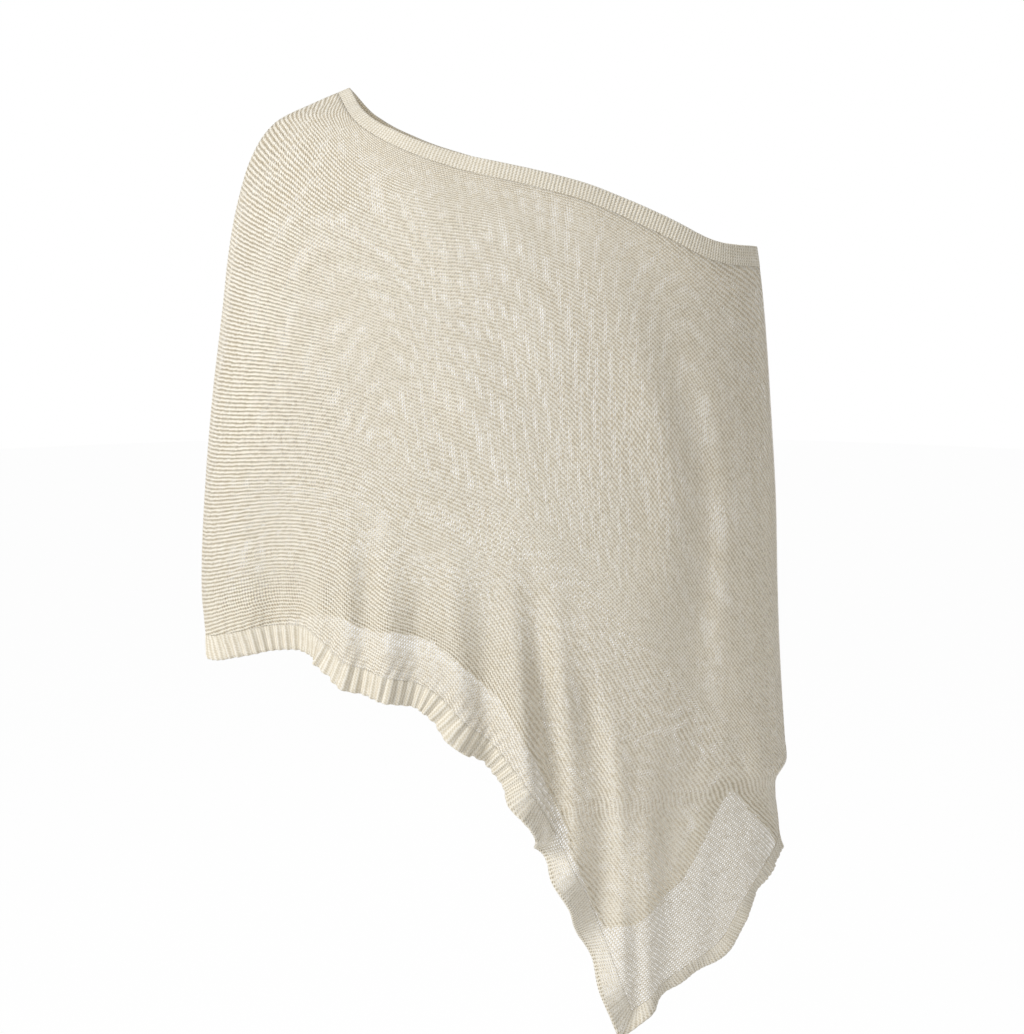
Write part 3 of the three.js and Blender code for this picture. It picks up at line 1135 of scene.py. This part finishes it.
FLUTE_WOBBLE = (Wave(0.9, 21.7, 0.6), Wave(0.5, 9.9, 2.0))
FLUTE_DEPTHS = (Wave(0.25, 14.3, 0.4), Wave(1.0, 31.0, 1.9))
RUFFLE = (Wave(1.0, 17.0, 1.1), Wave(0.6, 7.3))


def calm_ends(run: np.ndarray) -> np.ndarray:
    """Give 1 along a band, falling to 0 at both ends."""
    return np.minimum(1, np.minimum(run, run[-1] - run) / END_CALM)


def length_run(points: np.ndarray) -> np.ndarray:
    """Measure the length run at each of a line's points."""
    return np.concatenate([[0.0], np.cumsum(np.linalg.norm(np.diff(points, axis=0), axis=1))])


def flutes(style: RibStyle, run: np.ndarray, share: np.ndarray) -> tuple[np.ndarray, np.ndarray]:
    """Work out a band's flutes along its length.

    Args:
        style: how the band is knitted.
        run: the length run along its seam at each place, in millimetres.
        share: the same as a share of the whole.

    Returns:
        The count of flutes so far and the lift of the cloth at each place, in millimetres.
    """
    phase = run / style.flute + FLUTE_STRAY * sum(wave.at(run) for wave in FLUTE_WOBBLE)
    depths = MEAN_DEPTH + FLUTE_DEPTHS[0].at(run) * FLUTE_DEPTHS[1].at(run)
    relief = style.changing(style.relief, share)
    return phase, np.cos(TURN * phase) * depths * relief * calm_ends(run)


@dataclass
class KnitPanel:
    """One of the two large panels."""

    surface: PanelMap
    finish: bpy.types.Material
    columns: int = 330
    rows: int = 132
    hem_rows: int = 16
    hem_share: float = 0.05
    thickness: float = 0.0009
    shoulder_closer: float = 0.25
    neck_closer: float = 0.35
    hem_closer: float = 0.45

    def opening(self, s: np.ndarray, t: np.ndarray) -> np.ndarray:
        """Make the knit closer along the bands and on the carrying shoulder.

        Args:
            s: shares of the way across.
            t: shares of the way down.

        Returns:
            How open the knit is, 0 to 1.
        """
        shoulder = (1 - smooth_ramp(t, 0.0, 0.3)) * (1 - smooth_ramp(s, 0.15, 0.5))
        near_neck = 1 - smooth_ramp(t, 0.0, 0.05)
        near_hem = smooth_ramp(t, 0.87, 0.98) * (1 - smooth_ramp(s, 0.5, 0.8))
        closer = self.shoulder_closer * shoulder + self.neck_closer * near_neck
        return 1 - closer - self.hem_closer * near_hem

    def finer_hem(self, t: np.ndarray) -> np.ndarray:
        """Crowd the last rows of the grid into the hem's share of the length.

        Args:
            t: even shares of the way down.

        Returns:
            The shares with more of them near the hem.
        """
        fine = self.hem_rows / self.rows
        return np.where(
            t <= 1 - fine, t / (1 - fine) * (1 - self.hem_share),
            1 - (1 - t) / fine * self.hem_share)

    def flute_lift(self, points: np.ndarray) -> np.ndarray:
        """Let the hem band's flutes run up into the panel and fade out there.

        Args:
            points: the panel's grid points, row by row, in millimetres.

        Returns:
            How far each point is lifted, in millimetres.
        """
        grid = points.reshape(self.rows + 1, self.columns + 1, 3)
        share = np.linspace(0, 1, self.columns + 1)
        _, lift = flutes(RIB_STYLES[BandEdge.HEM], length_run(grid[-1]), share)
        above = np.linalg.norm(grid - grid[-1][None], axis=2)
        return (SEAM_FLUTE * lift[None] * np.exp(-((above / FLUTE_FADE) ** 2))).ravel()

    def build(self) -> bpy.types.Object:
        """Build the panel, dress it and tie it to its node."""
        side = self.surface.side
        sheet = StitchSheet(f"{side.word}_knit", self.columns, self.rows)
        s, t = sheet.shares()
        t = self.finer_hem(t)
        points = self.surface.point(s, t)
        points += self.surface.normal(s, t) * self.flute_lift(points)[:, None]
        grid = points.reshape(self.rows + 1, self.columns + 1, 3)
        runs = np.array([length_run(line) for line in grid])
        runs -= runs[:, self.columns // 2][:, None]
        stitches = np.stack([runs.ravel() / STITCH, self.surface.row_number(s, t)], axis=1)
        piece = sheet.build(to_frame(points), stitches, self.opening(s, t), (0, side.value, 0))
        thicken(piece, self.thickness)
        piece.data.materials.append(self.finish)
        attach(piece, BODY)
        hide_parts(f"{side.word}_panel")
        return piece


@dataclass
class RibBand:
    """A rib band along one edge of a panel, fluted, with its outer edge rolled in."""

    surface: PanelMap
    edge: BandEdge
    finish: bpy.types.Material
    thickness: float = 0.0011
    roll_steps: int = 6
    inward: float = 0.02

    def stops(self, share: np.ndarray) -> tuple[np.ndarray, np.ndarray, np.ndarray, np.ndarray]:
        """Find the places of the edge on the panel.

        Args:
            share: shares of the edge's length.

        Returns:
            s and t along the edge, and s and t a little inside it.
        """
        zero, one, inside = np.zeros_like(share), np.ones_like(share), self.inward
        if self.edge is BandEdge.NECK:
            return share, zero, share, zero + inside
        if self.edge is BandEdge.HEM:
            return share, one, share, one - inside
        t = 1 + share * (self.surface.side_point - 1)
        return one, t, one - inside, t

    def directions(self, points: np.ndarray, normals: np.ndarray, inner: np.ndarray) -> np.ndarray:
        """Find which way the cloth leads out across the edge.

        Args:
            points: the edge's points.
            normals: the cloth's normals there.
            inner: points a little inside the edge.

        Returns:
            The unit directions, N by 3.
        """
        along = np.gradient(points, axis=0)
        out = np.cross(along, normals)
        out /= np.linalg.norm(out, axis=1, keepdims=True)
        wrong = (out * (inner - points)).sum(axis=1) > 0
        out[wrong] *= -1
        return out

    @staticmethod
    def seam_reach(x: float, z: float, width: float) -> np.ndarray:
        """Give a reach of a width towards (x, z), in the plane of the side seams."""
        direction = np.array([x, 0.0, z])
        return direction / np.linalg.norm(direction) * width

    def end_reaches(self) -> tuple[np.ndarray, np.ndarray]:
        """Find the reach at the band's two ends, where it meets its neighbours.

        Returns:
            The reach at the first and at the last end.
        """
        style = RIB_STYLES[self.edge]
        if self.edge is BandEdge.NECK:
            first = self.seam_reach(0.93, 0.37, style.width_start)
            return first, self.seam_reach(-0.15, 1, style.width_end)
        if self.edge is BandEdge.HEM:
            return self.seam_reach(0.1, -1, style.width_start), self.tip_reach()
        return self.tip_reach(), self.seam_reach(0.05, -1, style.width_end)

    def tip_reach(self) -> np.ndarray:
        """Find the mitre at the tip, where the hem and tail bands meet.

        Returns:
            The reach from the panel's corner to the bands' common corner.
        """
        near, far = np.array([1 - self.inward]), np.array([1.0])
        corner = self.surface.point(far, far)[0]
        back_along_hem = self.surface.point(near, far)[0] - corner
        up_along_tail = self.surface.point(far, near)[0] - corner
        normal = self.surface.normal(far, far)[0]
        outs = []
        for along, other in ((back_along_hem, up_along_tail), (up_along_tail, back_along_hem)):
            out = np.cross(along, normal)
            out *= -np.sign(out @ other) / np.linalg.norm(out)
            outs.append(out)
        hem_width = RIB_STYLES[BandEdge.HEM].width_end
        tail_width = RIB_STYLES[BandEdge.TAIL].width_start
        cosine = outs[0] @ outs[1]
        scale = 1 / (1 - cosine * cosine)
        return scale * (
            (hem_width - cosine * tail_width) * outs[0]
            + (tail_width - cosine * hem_width) * outs[1]
        )

    def reaches(self, run: np.ndarray, share: np.ndarray, out: np.ndarray) -> np.ndarray:
        """Find how far and which way the band reaches from its seam.

        Args:
            run: the length run along the seam at each place.
            share: the same as a share of the whole.
            out: the unit directions out of the panel.

        Returns:
            The reach at each place, N by 3, in millimetres.
        """
        style = RIB_STYLES[self.edge]
        width = style.width_start + share * (style.width_end - style.width_start)
        reach = out * width[:, None]
        for end, whole in zip((0, -1), self.end_reaches()):
            blend = np.exp(-np.abs(run - run[end]) / CORNER_FADE)[:, None]
            reach = reach * (1 - blend) + whole * blend
        return reach

    def build(self) -> bpy.types.Object:
        """Build the band, dress it and tie it to its node."""
        style, side = RIB_STYLES[self.edge], self.surface.side
        rows = style.rows + self.roll_steps
        sheet = StitchSheet(f"{self.edge.value}_band_{side.word}", style.columns, rows)
        share = np.linspace(0, 1, style.columns + 1)
        s, t, inner_s, inner_t = self.stops(share)
        points, normals = self.surface.point(s, t), self.surface.normal(s, t)
        run = length_run(points)
        out = self.directions(points, normals, self.surface.point(inner_s, inner_t))
        reach = self.reaches(run, share, out)
        length = np.linalg.norm(reach, axis=1, keepdims=True)
        unit = reach / length
        phase, flute = flutes(style, run, share)
        sway = style.ruffle * calm_ends(run) * sum(wave.at(run) for wave in RUFFLE)
        lines, counts, openings = [], [], []
        for row in range(rows + 1):
            part = min(row / style.rows, 1)
            grown = math.sin(math.pi / 2 * min(part * FLUTE_FILL, 1))
            depth = flute * (SEAM_FLUTE + (1 - SEAM_FLUTE) * grown) + sway * part
            curl = max(row - style.rows, 0) / self.roll_steps * ROLL_TURN
            lift = style.roll * (1 - math.cos(curl))
            distance = (length[:, 0] - style.roll) * part + style.roll * math.sin(curl)
            lines.append(points + unit * distance[:, None] + normals * (depth - lift)[:, None])
            counts.append(np.stack(
                [(distance + lift) / STITCH, phase * style.stitches_a_flute], axis=1))
            openings.append(style.changing(style.opening, share) * (1 - row / rows) ** 0.5)
        piece = sheet.build(
            to_frame(np.concatenate(lines)), np.concatenate(counts), np.concatenate(openings),
            normals[len(share) // 2])
        thicken(piece, self.thickness)
        piece.data.materials.append(self.finish)
        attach(piece, BODY)
        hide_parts(f"{self.edge.value}_rib_{side.word}")
        return piece


# ---------------------------------------------------------------------------------------
# Stage
# ---------------------------------------------------------------------------------------


@dataclass(frozen=True)
class Lamp:
    """A square soft lamp, in metres and watts."""

    name: str
    place: tuple[float, float, float]
    size: float
    power: float


@dataclass
class Studio:
    """The camera, the lamps, the pale world and the floor, in metres."""

    eye: tuple[float, float, float] = (0.176, -1.3, -0.147)
    tilt_down: float = math.radians(10.4375)
    lens: float = 47.63
    sensor: float = 36.0
    lamps: tuple[Lamp, ...] = (
        Lamp("key", (-1.75, -1.6, 0.7), 1.0, 46.0),
        Lamp("fill", (1.9, -1.5, 0.4), 1.6, 1.5),
        Lamp("back", (0.4, 2.0, 0.8), 1.4, 24.0),
    )
    middle: tuple[float, float, float] = (0.16, 0.0, -0.4)
    world_light: float = 0.46
    floor_height: float = -1.42
    floor_radius: float = 9.0
    floor_glow: float = 0.97

    def camera(self) -> None:
        """Set the camera in front of the garment, looking a little down."""
        data = bpy.data.cameras.new("camera")
        data.lens = self.lens
        data.sensor_width = self.sensor
        camera = bpy.data.objects.new("camera", data)
        camera.location = self.eye
        camera.rotation_euler = (math.pi / 2 - self.tilt_down, 0, 0)
        bpy.context.scene.collection.objects.link(camera)
        bpy.context.scene.camera = camera

    def hang(self, lamp: Lamp) -> None:
        """Hang a lamp that faces the garment's middle.

        Args:
            lamp: the lamp's place, size and power.
        """
        data = bpy.data.lights.new(lamp.name, "AREA")
        data.shape, data.size, data.energy = "SQUARE", lamp.size, lamp.power
        hung = bpy.data.objects.new(lamp.name, data)
        hung.location = lamp.place
        towards = Vector(self.middle) - Vector(lamp.place)
        hung.rotation_euler = towards.to_track_quat("-Z", "Y").to_euler()
        bpy.context.scene.collection.objects.link(hung)

    def world(self) -> None:
        """Give a white view and an even soft light."""
        world = bpy.data.worlds.new("pale")
        bpy.context.scene.world = world
        graph = Graph(world, "ShaderNodeOutputWorld")
        light, view = (
            graph.node("ShaderNodeBackground", {}, {"Color": WHITE, "Strength": strength})
            for strength in (self.world_light, 1.0)
        )
        graph.finish(graph.node("ShaderNodeMixShader", {}, {
            0: graph.seen_rays(), 1: light.outputs[0], 2: view.outputs[0]}))

    def floor(self) -> None:
        """Lay a wide pale floor that keeps a faint shadow."""
        mesh = bmesh.new()
        bmesh.ops.create_circle(mesh, cap_ends=True, radius=self.floor_radius, segments=96)
        bmesh.ops.translate(mesh, verts=mesh.verts, vec=(self.middle[0], 0, self.floor_height))
        data = bpy.data.meshes.new("floor")
        mesh.to_mesh(data)
        mesh.free()
        floor = bpy.data.objects.new("floor", data)
        bpy.context.scene.collection.objects.link(floor)
        graph = Graph.of_material("pale_floor")
        matt = graph.node(
            "ShaderNodeBsdfPrincipled", {},
            {"Base Color": (0.9, 0.9, 0.9, 1), "Roughness": 0.9, "Specular IOR Level": 0.1})
        glow = graph.node("ShaderNodeEmission", {}, {"Color": WHITE, "Strength": 1.0})
        mix = graph.node("ShaderNodeMixShader", {}, {
            0: graph.seen_rays() * self.floor_glow, 1: matt.outputs[0], 2: glow.outputs[0]})
        data.materials.append(graph.finish(mix))

    def build(self) -> None:
        """Set everything that isn't part of the garment."""
        bpy.context.scene.view_settings.view_transform = "Standard"
        self.camera()
        self.world()
        self.floor()
        for lamp in self.lamps:
            self.hang(lamp)


# ---------------------------------------------------------------------------------------
# The garment
# ---------------------------------------------------------------------------------------


def main() -> None:
    """Build the garment piece by piece and report each."""
    logging.basicConfig(level=logging.INFO, format="%(message)s")
    Studio().build()
    open_knit = KnitFinish("ivory_open_knit").build()
    # The rib bands' painted shade between stitches is lighter than the panels'.
    rib_knit = KnitFinish(
        "ivory_rib_knit", Yarn(painted_shade=linear(226, 216, 195)), row_wander=0.5, stitch_wander=0.6,
        hole_height=(0.5, 0.2), hole_width=(0.9, 0.6), bump_distance=0.0004).build()
    form = DrapeForm(FORM_ROWS)
    for side in Side:
        surface = PanelMap(Drape(form, side))
        panel = KnitPanel(surface, open_knit).build()
        LOG.info("%s: %d faces", panel.name, len(panel.data.polygons))
        bands = [RibBand(surface, edge, rib_knit).build() for edge in BandEdge]
        for band in bands:
            LOG.info("%s: %d faces", band.name, len(band.data.polygons))


if __name__ == "__main__":
    main()
